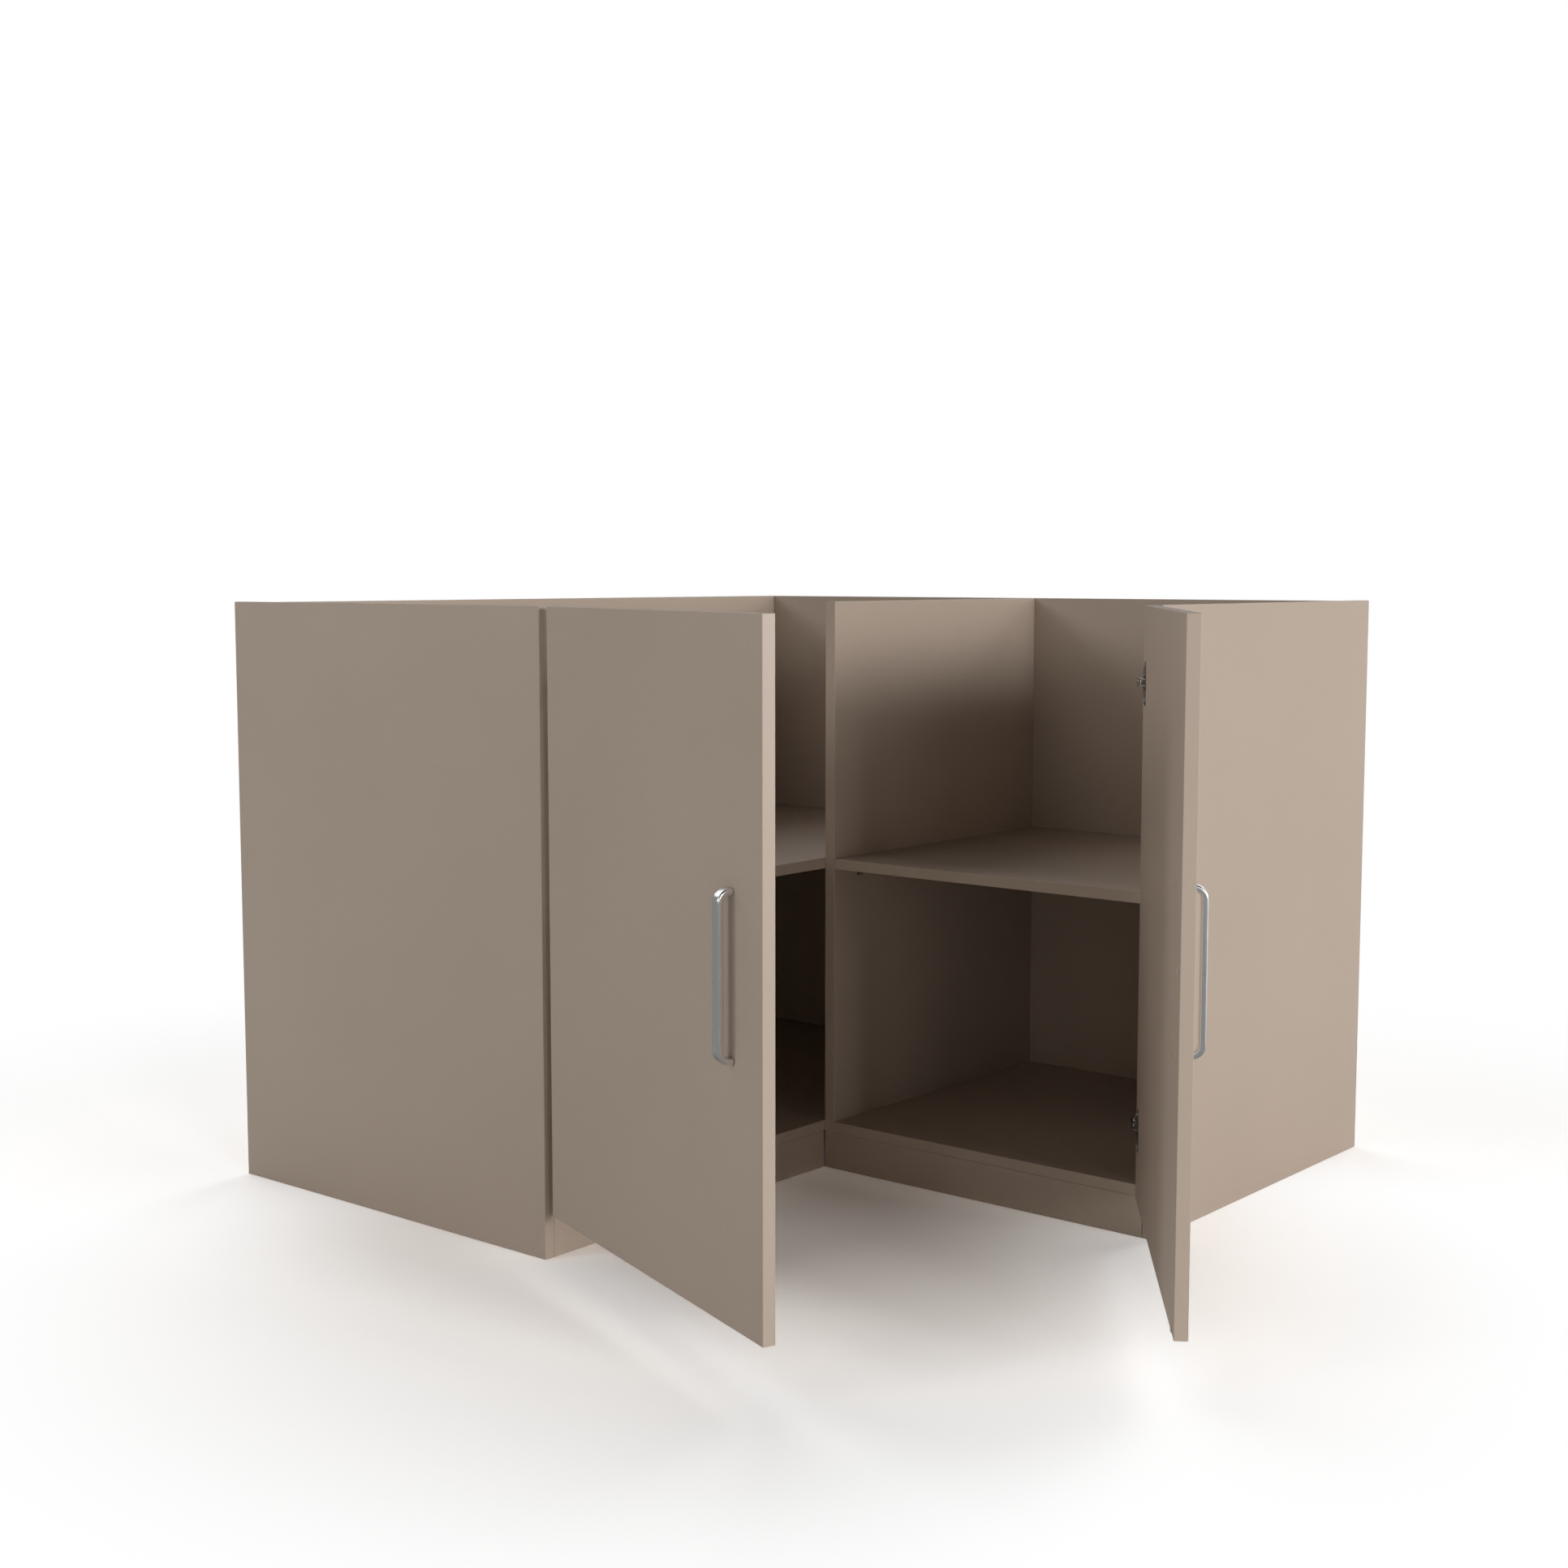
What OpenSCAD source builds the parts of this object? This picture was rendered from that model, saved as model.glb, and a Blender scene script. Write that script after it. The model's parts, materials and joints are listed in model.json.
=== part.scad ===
// Corner base cabinet: two boxes in an L, a door on each arm, open at the top for a worktop.
// The origin is the corner of the room at floor level. The left arm runs along the wall y = 0
// towards -X, and the right arm along the wall x = 0 towards -Y. The doors stand open.

/* [Carcass] */
// Height of the panels above the floor
height = 850; // [750:1:950]
// Length of the left arm along its wall, end panel included
left_length = 1200; // [1100:1:1500]
// Length of the right arm along its wall, end panel included
right_length = 1200; // [1100:1:1500]
// Depth of the left arm from its wall to the panel fronts
left_depth = 636; // [600:1:680]
// Depth of the right arm from its wall to the panel fronts
right_depth = 620; // [600:1:680]
// Thickness of the end panels, backs, bottoms, shelves and plinths
board = 16; // [15:0.5:19]
// Thickness of the divider between the two boxes
divider_board = 18; // [18:0.5:25]
// Distance from the walls to the inner faces of the back panels
back_inset = 90; // [60:1:120]
// Height of the plinths under the bottoms
plinth_height = 56; // [50:1:110]
// Height of the shelf tops above the floor
shelf_top = 470; // [420:1:520]

/* [Doors] */
// Thickness of the doors
door_board = 16; // [16:0.5:20]
// Gap between a closed door and the panel fronts
door_gap = 2; // [1.5:0.5:3]
// Setback of a door's hinge edge from the outer face of its end panel
door_reveal = 1; // [0.5:0.5:2]
// Height of a door's lower edge above the underside of the bottoms
door_lift = 5; // [2:0.5:8]
// Free space between the closed left door and the face of the right door
left_door_space = 9; // [4:1:20]
// Clearance between the closed right door's edge and the plane of the left door's face
right_door_clearance = 2; // [2:0.5:6]
// Thickness of the edging round the doors
edging = 1; // [0.4:0.1:2]
// How far the left door stands open, in degrees
left_open = 110; // [0:1:125]
// How far the right door stands open, in degrees
right_open = 125; // [0:1:125]

/* [Handles] */
// Overall length of a handle
handle_length = 195; // [120:1:260]
// Width of a handle, across the door
handle_width = 15; // [12:0.5:24]
// Thickness of a handle's bar
handle_bar = 8; // [6.5:0.5:10]
// Radius of the bar's long edges
handle_edge = 2.5; // [1:0.25:3]
// Distance from the door's face to the outer face of the bar
handle_projection = 20; // [18:0.5:40]
// Outer radius of a handle's bends
handle_bend = 16; // [11:0.5:17]
// Distance from a door's free edge to the middle of its handle
handle_inset = 70; // [30:1:100]
// Diameter of the handle screws
handle_screw = 4; // [3:0.5:5]

/* [Hinges] */
// Distance from a door's upper or lower edge to its nearest hinge
hinge_inset = 100; // [70:1:130]
// Diameter of the hinge cups
cup_diameter = 35; // [35:0.5:38]
// Depth of the hinge cups in the door
cup_depth = 11.5; // [11:0.1:13]
// Distance from the door's edge to the middle of a cup
cup_inset = 22.5; // [22:0.5:26]
// Setback of the turning axis from the door's hinge edge
axis_inset = 1.5; // [1:0.1:2]
// Depth of the turning axis behind the door's outer face
axis_depth = 2.5; // [2:0.1:3]
// Diameter of the hinge pins
hinge_pin = 3; // [2.5:0.1:3.2]

/* [Fittings] */
// Diameter of the cam housings
cam_diameter = 15; // [12:0.5:16]
// Diameter of the wooden dowels
dowel_diameter = 8; // [6:0.5:9]
// Length of the wooden dowels
dowel_length = 30; // [24:1:32]
// Diameter of the shelf supports' pegs
peg_diameter = 5; // [4:0.5:6]

/* [Hidden] */
$fn = 48;

// Small distances used throughout
hair = 0.05;          // radial play of pegs, dowels and screws in their holes
running = 0.05;       // radial play of a hinge pin in a link
loose = 0.3;          // radial play at the pivot that closes each hinge
press = 0.02;         // radial play of a pin that is pressed in
side_play = 0.2;      // play beside a turning or fitted piece
past = 1;             // how far a cutter runs past a face

// Planes of the carcass
left_front = -left_depth;
right_front = -right_depth;
back_face = -back_inset;
back_rear = board - back_inset;
left_inside = board - left_length;
right_inside = board - right_length;
divider_right = left_front - divider_board;
bottom_top = plinth_height + board;
plinth_gap = 1;       // joint at the right end of each plinth
shelf_play = 0.5;     // play at the ends of a shelf

// Doors, as they lie in the closed position
door_bottom = plinth_height + door_lift;
door_height = height - door_bottom;
door_front = door_gap + door_board;
left_width = left_length - door_reveal - right_depth - door_front - left_door_space;
right_width = right_length - door_reveal - left_depth - door_front - right_door_clearance;
hinge_levels = [door_bottom + hinge_inset, height - hinge_inset];

// Handles
leg_centre = (handle_length - handle_bar) / 2;
handle_middle = door_bottom + door_height / 2;
bend_centre = [handle_length / 2 - handle_bend, handle_projection - handle_bend];
screw_head = 2 * handle_screw;
screw_head_height = 2.2;
screw_reach = 8;      // how far a handle screw goes into its leg
screw_play = 0.3;     // radial play of a handle screw in the door

// Hinge geometry in a hinge's own frame: x runs from the end panel's outer face into the box,
// y from the panel fronts into the box, z up from the middle of the hinge
axis_at = [door_reveal + axis_inset, axis_depth - door_front];
arm_pin_height = 11;  // height of the arm's pin above the end panel's inner face
cup_pin_place = [14, 9.5]; // distance of the cup's pin from the door's edge and outer face
arm_pin_at = [board + arm_pin_height, 0];
cup_pin_at = [door_reveal + cup_pin_place[0], cup_pin_place[1] - door_front];
elbow_at = arm_pin_at + cup_pin_at - axis_at;
link_shift = elbow_at - cup_pin_at;
pin_r = hinge_pin / 2;
eye_r = 3.2;
link_half = 1.8;
lever_half = 3;       // half the height of an inner link
fork_inner = 3.3;     // the outer links' two plates lie between these heights
fork_outer = 5.3;
neck = [11.5, -2.0];  // bends of the outer link, from the cup's pin
shoulder = [19.5, 5.2];
ear_inner = 6.2;      // the arm's two walls lie between these heights
ear_outer = 7.4;
pocket_half = 9;      // half the height of a cup's pocket
pocket_from = 7;      // pocket's near and far ends, from the door's edge
pocket_to = 37.3;
pocket_floor = 5.2;   // height of the pocket's floor above the door's outer face
flange = 1;
nose_r = 4;
plate_height = 14;    // height of a plate's block above its end panel
arm_web = board + plate_height; // inner face of the arm's web
arm_sheet = 1.2;
arm_wall = 9;         // how far the arm's walls reach back from its web
arm_length = 70;
web_start = 16;
plate_wing = 2;
plate_row = 37;       // row of the plate screws behind the panel fronts
plate_spacing = 32;   // height between the two screws of a plate
plate_margin = [8, 7];
plate_screw_tip = 5;  // wood left under a plate screw
plate_screw_head = [4.4, 2];
block_margin = 6;     // how far the web runs past the plate's block
adjusting_rows = [28, 56]; // rows of the adjusting screws behind the panel fronts
adjusting_from = 2;   // where their holes start above a plate's wings
tip_air = 1;          // air under an adjusting screw's tip
adjusting_r = 2;
adjusting_head = [3.6, 1.6];
cup_screw_spacing = 45;
cup_screw_offset = 9.5;
cup_screw_r = 1.75;
cup_screw_length = 10;
cup_screw_head = [3.5, 1.6];
cup_rim = 2;          // width of the flange round a cup
cup_ear = 6.5;        // radius of the flange round a screw
cup_pin_seat = 3;     // how far a cup's pin goes into each wall of the pocket
rivet_head = [0.8, 1]; // height and overhang of the heads on an arm's pin

// Shelf supports: x, y and the direction that a peg points away from its panel
support_inset = 60;
support_step = 300;
left_supports = [
    [left_inside, left_front + support_inset, 0], [left_inside, back_face - support_inset, 0],
    [right_front + support_inset, left_front, 90], [back_face - support_inset, left_front, 90],
    [left_inside + support_step, back_face, 270], [back_face - support_step, back_face, 270],
    [back_face, left_front / 2 + back_face / 2, 180]];
right_supports = [
    [right_front + support_inset, right_inside, 90], [back_face - support_inset, right_inside, 90],
    [right_front + support_inset, divider_right, 270], [back_face - support_inset, divider_right, 270]];
peg_depth = 8;
pad_size = [9, 12, 2];
pad_back = [1.4, 12, 12];
pad_web = 2;
pad_lip = 1;          // how far the pad runs past its web
peg_level = shelf_top - board - pad_size[2] - pad_back[2] / 2;

// Board joints: the board with the cam, its mate, the bolt's place on the meeting face, the
// direction to the mate, and how the pocket is turned (180 opens downwards, 90 and -90 sideways)
joint_step = 70;      // distance of a joint from the end of its board
bottom_mid = plinth_height + board / 2;
back_mid = back_face + board / 2;
divider_mid = left_front - divider_board / 2;
low_joint = height * 0.25;
high_joint = height * 0.78;
JOINTS = [
    ["left_bottom", "left_end_panel", [left_inside, left_front + joint_step, bottom_mid], 180, 180],
    ["left_bottom", "left_end_panel", [left_inside, back_face - joint_step, bottom_mid], 180, 180],
    ["left_bottom", "left_back_panel", [left_inside + 4 * joint_step, back_face, bottom_mid], 90, 180],
    ["left_bottom", "left_back_panel", [back_face - 4 * joint_step, back_face, bottom_mid], 90, 180],
    ["left_bottom", "right_back_panel", [back_face, back_face - 2 * joint_step, bottom_mid], 0, 180],
    ["left_bottom", "right_back_panel", [back_face, left_front + 2 * joint_step, bottom_mid], 0, 180],
    ["left_bottom", "divider", [right_front + joint_step, left_front, bottom_mid], 270, 180],
    ["left_bottom", "divider", [back_face - joint_step, left_front, bottom_mid], 270, 180],
    ["right_bottom", "right_end_panel", [right_front + joint_step, right_inside, bottom_mid], 270, 180],
    ["right_bottom", "right_end_panel", [back_face - joint_step, right_inside, bottom_mid], 270, 180],
    ["right_bottom", "right_back_panel", [back_face, divider_right - joint_step, bottom_mid], 0, 180],
    ["right_bottom", "right_back_panel", [back_face, right_inside + joint_step, bottom_mid], 0, 180],
    ["right_bottom", "divider", [right_front + 2 * joint_step, divider_right, bottom_mid], 90, 180],
    ["right_bottom", "divider", [back_face - 3 * joint_step, divider_right, bottom_mid], 90, 180],
    ["left_back_panel", "left_end_panel", [left_inside, back_mid, low_joint], 180, 90],
    ["left_back_panel", "left_end_panel", [left_inside, back_mid, high_joint], 180, 90],
    ["right_back_panel", "right_end_panel", [back_mid, right_inside, low_joint], 270, -90],
    ["right_back_panel", "right_end_panel", [back_mid, right_inside, high_joint], 270, -90],
    ["right_back_panel", "left_back_panel", [back_mid, back_face, low_joint], 90, 90],
    ["right_back_panel", "left_back_panel", [back_mid, back_face, high_joint], 90, 90],
    ["divider", "right_back_panel", [back_face, divider_mid, low_joint], 0, -90],
    ["divider", "right_back_panel", [back_face, divider_mid, high_joint], 0, -90]];
cam_back = 24;        // distance from the board's end to the middle of its cam
cam_depth = 12.5;
cam_slot = 3.8;       // half the width of a cam's slot
cam_cross = [7, 1];   // length and depth of the cross in a cam
wide_cross = [5, 1];
small_cross = [4, 0.8];
bolt_r = 3;
bolt_neck = 2.4;
bolt_thread = 1;      // how much of a bolt's thread shows inside its own board
bolt_hole = 4;
bolt_grip = 11;       // how far a bolt goes into the mate
bolt_head = [3.6, 3];
dowel_step = 32;      // distance of a dowel from its bolt
dowel_grip = 11;      // how far a dowel goes into the mate
dowel_deep = 1;       // spare depth of a dowel's hole in its board
plinth_dowel_up = 10;
plinth_dowel_shares = [0.12, 0.5, 0.88]; // their places along a plinth
bumper_r = 4.5;
bumper_inset = 25;
bumper_air = 0.3;

function half_board(name) = (name == "divider" ? divider_board : board) / 2;

taupe = [0.70, 0.64, 0.58];
edge_taupe = [0.72, 0.66, 0.60];
steel = [0.66, 0.66, 0.65];
zinc = [0.74, 0.74, 0.72];
beech = [0.80, 0.66, 0.47];

// A box given by its low and high corners
module block(low, high) {
    translate(low) cube(high - low);
}

// A flat bar with round ends between two points
module bar(from, to, half) {
    run = to - from;
    translate(from) circle(half);
    translate(to) circle(half);
    translate(from) rotate(atan2(run[1], run[0])) translate([0, -half]) square([norm(run), 2 * half]);
}

// A round rod along z between two heights
module rod(at, r, low, high) {
    translate([at[0], at[1], low]) cylinder(r = r, h = high - low);
}

// Puts what is drawn in a hinge's frame on one arm of the cabinet
module on_arm(side) {
    if (side == "left") translate([-left_length, left_front, 0]) children();
    if (side == "right") translate([right_front, -right_length, 0]) mirror([1, -1, 0]) children();
}

// Turns what is drawn on the closed door to where it stands
module with_door(side) {
    angle = side == "left" ? left_open : right_open;
    on_arm(side) translate(axis_at) rotate(-angle) translate(-axis_at) children();
}

module at_hinges() {
    for (z = hinge_levels) translate([0, 0, z]) children();
}

// Puts what is drawn in a joint's frame, x towards the mate and z out of the pocket, on the carcass
module at_joint(j) {
    translate(j[2]) rotate([0, 0, j[3]]) rotate([j[4], 0, 0]) children();
}

// A round rod along x
module along_x(r, low, high) {
    translate([low, 0, 0]) rotate([0, 90, 0]) cylinder(r = r, h = high - low);
}

// A cross for the screwdriver, to be cut into a flat head at z = 0 from above
module cross(size) {
    for (turn = [0, 90]) rotate(turn) translate([-size[0] / 2, -size[0] / 10, -size[1]])
        cube([size[0], size[0] / 5, size[1] + past]);
}

// Holes in the board that holds the cam
module cam_holes(half) {
    translate([-cam_back, 0, half - cam_depth]) cylinder(d = cam_diameter + 2 * hair, h = cam_depth + past);
    along_x(bolt_hole, -cam_back, past);
    translate([0, dowel_step, 0])
        along_x(dowel_diameter / 2 + hair, dowel_grip - dowel_length - dowel_deep, past);
}

// Holes in the mate
module mate_holes() {
    along_x(bolt_r + hair, -past, bolt_grip + dowel_deep);
    translate([0, dowel_step, 0]) along_x(dowel_diameter / 2 + hair, -past, dowel_grip + dowel_deep);
}

// Every joint hole of one board
module joint_holes(name) {
    for (j = JOINTS) {
        if (j[0] == name) at_joint(j) cam_holes(half_board(name));
        if (j[1] == name) at_joint(j) mate_holes();
    }
}

module peg_holes(supports) {
    for (s = supports) translate([s[0], s[1], peg_level]) rotate([0, 0, s[2]])
        along_x(peg_diameter / 2 + hair, -peg_depth - hair, past);
}

module plate_screw_holes(side) {
    on_arm(side) at_hinges() for (s = [-1, 1])
        translate([board, plate_row, s * plate_spacing / 2]) rotate([0, 0, 180])
            along_x(peg_diameter / 2 + hair, -past, board - plate_screw_tip + dowel_deep);
}

// Dowels between a plinth and its bottom: x and y of each
function plinth_dowel_places(side) = [for (k = plinth_dowel_shares) side == "left"
    ? [left_inside + k * (right_front - left_inside), left_front + board / 2]
    : [right_front + board / 2, right_inside + k * (divider_right - right_inside)]];

module plinth_dowel_holes(side) {
    for (p = plinth_dowel_places(side))
        rod(p, dowel_diameter / 2 + hair, plinth_height - dowel_length + plinth_dowel_up - dowel_deep,
            plinth_height + plinth_dowel_up + dowel_deep);
}

module left_end_panel() color(taupe) difference() {
    block([-left_length, left_front, 0], [left_inside, 0, height]);
    joint_holes("left_end_panel");
    peg_holes(left_supports);
    plate_screw_holes("left");
}

module right_end_panel() color(taupe) difference() {
    block([right_front, -right_length, 0], [0, right_inside, height]);
    joint_holes("right_end_panel");
    peg_holes(right_supports);
    plate_screw_holes("right");
}

module divider() color(taupe) difference() {
    block([right_front, divider_right, 0], [back_face, left_front, height]);
    joint_holes("divider");
    peg_holes(left_supports);
    peg_holes(right_supports);
}

module left_back_panel() color(taupe) difference() {
    block([left_inside, back_face, 0], [back_rear, back_rear, height]);
    joint_holes("left_back_panel");
    peg_holes(left_supports);
}

module right_back_panel() color(taupe) difference() {
    block([back_face, right_inside, 0], [back_rear, back_face, height]);
    joint_holes("right_back_panel");
    peg_holes(left_supports);
}

module left_bottom() color(taupe) difference() {
    block([left_inside, left_front, plinth_height], [back_face, back_face, bottom_top]);
    joint_holes("left_bottom");
    plinth_dowel_holes("left");
}

module right_bottom() color(taupe) difference() {
    block([right_front, right_inside, plinth_height], [back_face, divider_right, bottom_top]);
    joint_holes("right_bottom");
    plinth_dowel_holes("right");
}

module left_plinth() color(taupe) difference() {
    block([left_inside, left_front, 0], [right_front - plinth_gap, left_front + board, plinth_height]);
    plinth_dowel_holes("left");
}

module right_plinth() color(taupe) difference() {
    block([right_front, right_inside + plinth_gap, 0], [right_front + board, divider_right, plinth_height]);
    plinth_dowel_holes("right");
}

module left_shelf() color(taupe)
    block([left_inside + shelf_play, left_front, shelf_top - board],
        [back_face - shelf_play, back_face - shelf_play, shelf_top]);

module right_shelf() color(taupe)
    block([right_front, right_inside + shelf_play, shelf_top - board],
        [back_face - shelf_play, divider_right - shelf_play, shelf_top]);

// A peg with a back plate against the panel and a pad under the shelf
module shelf_support() {
    drop = pad_back[2] / 2 + pad_size[2];
    along_x(peg_diameter / 2, -peg_depth, 0);
    translate([0, -pad_back[1] / 2, -pad_back[2] / 2]) cube(pad_back);
    translate([0, -pad_size[1] / 2, drop - pad_size[2]]) cube(pad_size);
    translate([0, 0, -pad_back[2] / 2]) rotate([90, 0, 0]) linear_extrude(pad_web, center = true)
        polygon([[0, 0], [pad_back[0], 0], [pad_size[0] - pad_lip, drop], [0, drop]]);
}

module shelf_supports(supports) color(steel)
    for (s = supports) translate([s[0], s[1], peg_level]) rotate([0, 0, s[2]]) shelf_support();

module left_shelf_supports() shelf_supports(left_supports);
module right_shelf_supports() shelf_supports(right_supports);

// A round cam with a slot for the bolt's head and a cross for the screwdriver
module cam_housing(half) {
    top = half - side_play;
    translate([-cam_back, 0, 0]) difference() {
        rod([0, 0], cam_diameter / 2, half - cam_depth + side_play, top);
        translate([-cam_slot, -cam_slot, -cam_slot]) cube([cam_diameter, 2 * cam_slot, 2 * cam_slot]);
        translate([0, 0, top]) cross(cam_cross);
    }
}

module cam_bolt() {
    along_x(bolt_r, -bolt_thread, bolt_grip);
    along_x(bolt_neck, bolt_head[1] - cam_back, -bolt_thread);
    along_x(bolt_head[0], -cam_back, bolt_head[1] - cam_back);
}

module cam_housings() color(zinc) for (j = JOINTS) at_joint(j) cam_housing(half_board(j[0]));
module cam_bolts() color(zinc) for (j = JOINTS) at_joint(j) cam_bolt();

module dowels() color(beech) for (j = JOINTS) at_joint(j) translate([0, dowel_step, 0])
    along_x(dowel_diameter / 2, dowel_grip - dowel_length, dowel_grip);

module plinth_dowels() color(beech) for (side = ["left", "right"], p = plinth_dowel_places(side))
    translate([0, 0, plinth_height + plinth_dowel_up]) rod(p, dowel_diameter / 2, -dowel_length, 0);

// The plate on the end panel: two wings with a screw each, and a block that the arm sits on
module mounting_plate() {
    difference() {
        union() {
            block([board, plate_row - plate_margin[0], -plate_spacing / 2 - plate_margin[1]],
                [board + plate_wing, plate_row + plate_margin[0], plate_spacing / 2 + plate_margin[1]]);
            block([board, web_start + block_margin, side_play - ear_inner],
                [arm_web, arm_length - block_margin, ear_inner - side_play]);
        }
        for (s = [-1, 1]) translate([board, plate_row, s * plate_spacing / 2])
            along_x(peg_diameter / 2 + hair, -past, board);
        for (y = adjusting_rows) translate([0, y, 0])
            along_x(adjusting_r + hair, board + plate_wing + adjusting_from, arm_web + past);
    }
}

module left_mounting_plates() color(zinc) on_arm("left") at_hinges() mounting_plate();
module right_mounting_plates() color(zinc) on_arm("right") at_hinges() mounting_plate();

module plate_screws() color(zinc) for (side = ["left", "right"]) on_arm(side) at_hinges()
    for (s = [-1, 1]) translate([0, plate_row, s * plate_spacing / 2]) {
        along_x(peg_diameter / 2, plate_screw_tip, board + plate_wing);
        difference() {
            along_x(plate_screw_head[0], board + plate_wing, board + plate_wing + plate_screw_head[1]);
            translate([board + plate_wing + plate_screw_head[1], 0, 0]) rotate([0, 90, 0]) cross(wide_cross);
        }
    }

// The arm: a channel whose two walls carry the pin at the nose
module hinge_arm() {
    outer = arm_web + arm_sheet;
    difference() {
        union() {
            for (s = [-1, 1]) translate([0, 0, s * (ear_inner + ear_outer) / 2])
                linear_extrude(ear_outer - ear_inner, center = true) {
                    translate(arm_pin_at) circle(nose_r);
                    polygon([arm_pin_at - [nose_r, 0], arm_pin_at + [nose_r, 0],
                        [outer, web_start - nose_r], [outer, arm_length],
                        [arm_web - arm_wall, arm_length], [arm_web - arm_wall, web_start]]);
                }
            block([arm_web, web_start, -ear_outer], [outer, arm_length, ear_outer]);
        }
        rod(arm_pin_at, pin_r + press, -ear_outer - past, ear_outer + past);
        for (y = adjusting_rows) translate([0, y, 0])
            along_x(adjusting_r + side_play, arm_web - past, outer + past);
    }
}

module left_hinge_arms() color(steel) on_arm("left") at_hinges() hinge_arm();
module right_hinge_arms() color(steel) on_arm("right") at_hinges() hinge_arm();

module arm_pins() color(steel) for (side = ["left", "right"]) on_arm(side) at_hinges() {
    rod(arm_pin_at, pin_r, -ear_outer, ear_outer);
    for (low = [ear_outer, -ear_outer - rivet_head[0]])
        rod(arm_pin_at, pin_r + rivet_head[1], low, low + rivet_head[0]);
}

module adjusting_screws() color(zinc) for (side = ["left", "right"]) on_arm(side) at_hinges()
    for (y = adjusting_rows) translate([0, y, 0]) {
        along_x(adjusting_r, board + plate_wing + adjusting_from + tip_air, arm_web + arm_sheet);
        difference() {
            along_x(adjusting_head[0], arm_web + arm_sheet, arm_web + arm_sheet + adjusting_head[1]);
            translate([arm_web + arm_sheet + adjusting_head[1], 0, 0]) rotate([0, 90, 0]) cross(small_cross);
        }
    }

// The inner link turns on the arm's pin by as much as the door
module inner_link() {
    difference() {
        union() {
            linear_extrude(2 * lever_half, center = true) bar(arm_pin_at, elbow_at, lever_half);
            rod(arm_pin_at, eye_r, side_play - ear_inner, ear_inner - side_play);
        }
        rod(arm_pin_at, pin_r + running, -ear_outer, ear_outer);
        rod(elbow_at, pin_r + running, -ear_outer, ear_outer);
    }
}

// The outer link keeps its direction while the elbow carries it. Its neck is bent so that it
// passes over the cup's rim when the door is wide open.
module outer_link() {
    difference() {
        union() {
            for (s = [-1, 1]) translate([0, 0, s * (fork_inner + fork_outer) / 2])
                linear_extrude(fork_outer - fork_inner, center = true) translate(cup_pin_at) {
                    bar([0, 0], neck, link_half);
                    bar(neck, shoulder, link_half);
                    bar(shoulder, link_shift, link_half);
                    translate(link_shift) circle(lever_half);
                }
            rod(cup_pin_at, lever_half, -fork_outer, fork_outer);
        }
        rod(cup_pin_at, pin_r + loose, -ear_outer, ear_outer);
        rod(elbow_at, pin_r + press, -ear_outer, ear_outer);
    }
}

// Places the inner links as the door stands
module inner_link_pose(side) {
    angle = side == "left" ? left_open : right_open;
    on_arm(side) at_hinges() translate(arm_pin_at) rotate(-angle) translate(-arm_pin_at) children();
}

// Places the outer links as the door stands: they move without turning
module outer_link_pose(side) {
    angle = side == "left" ? left_open : right_open;
    arm = elbow_at - arm_pin_at;
    turned = [cos(angle) * arm[0] + sin(angle) * arm[1], cos(angle) * arm[1] - sin(angle) * arm[0]];
    on_arm(side) at_hinges() translate(turned - arm) children();
}

module left_inner_links() color(steel) inner_link_pose("left") inner_link();
module right_inner_links() color(steel) inner_link_pose("right") inner_link();
module left_outer_links() color(zinc) outer_link_pose("left") outer_link();
module right_outer_links() color(zinc) outer_link_pose("right") outer_link();
module left_elbow_pins() color(steel) outer_link_pose("left") rod(elbow_at, pin_r, -fork_outer, fork_outer);
module right_elbow_pins() color(steel) outer_link_pose("right")
    rod(elbow_at, pin_r, -fork_outer, fork_outer);

function door_width(side) = side == "left" ? left_width : right_width;

// Puts what is drawn on the closed door, u along it from the hinge edge and z above the floor
module on_door(u, z) {
    translate([door_reveal + u, -door_front, z]) children();
}

// Puts what is drawn, z out of the door, at each screw of a cup on the door's inner face
module at_cup_screws() {
    for (s = [-1, 1]) translate([cup_inset + cup_screw_offset, door_board, s * cup_screw_spacing / 2])
        rotate([-90, 0, 0]) children();
}

// Puts what is drawn, z out of the door, at each screw of a handle on the door's inner face
module at_handle_screws(side) {
    for (s = [-1, 1]) on_door(door_width(side) - handle_inset, handle_middle + s * leg_centre)
        translate([0, door_board, 0]) rotate([-90, 0, 0]) children();
}

module door_holes(side) {
    for (z = hinge_levels) on_door(0, z) {
        translate([cup_inset, door_board, 0]) rotate([-90, 0, 0])
            rod([0, 0], cup_diameter / 2 + hair, -cup_depth - hair, past);
        at_cup_screws() rod([0, 0], cup_screw_r + hair, -cup_screw_length - hair, past);
    }
    at_handle_screws(side) rod([0, 0], handle_screw / 2 + screw_play, -door_board - past, past);
}

module door(side) color(taupe) with_door(side) difference() {
    on_door(edging, door_bottom + edging)
        cube([door_width(side) - 2 * edging, door_board, door_height - 2 * edging]);
    door_holes(side);
}

module door_edging(side) color(edge_taupe) with_door(side) on_door(0, door_bottom) difference() {
    cube([door_width(side), door_board, door_height]);
    translate([edging, -past, edging])
        cube([door_width(side) - 2 * edging, door_board + 2 * past, door_height - 2 * edging]);
}

module left_door() door("left");
module right_door() door("right");
module left_door_edging() door_edging("left");
module right_door_edging() door_edging("right");

// Section of a handle's bar, x through its thickness and y across it
module bow_section() {
    flat = [handle_bar / 2 - handle_edge, handle_width / 2 - handle_edge];
    square([handle_bar, 2 * flat[1]], center = true);
    square([2 * flat[0], handle_width], center = true);
    for (sx = [-1, 1], sy = [-1, 1]) translate([sx * flat[0], sy * flat[1]]) circle(handle_edge);
}

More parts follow.
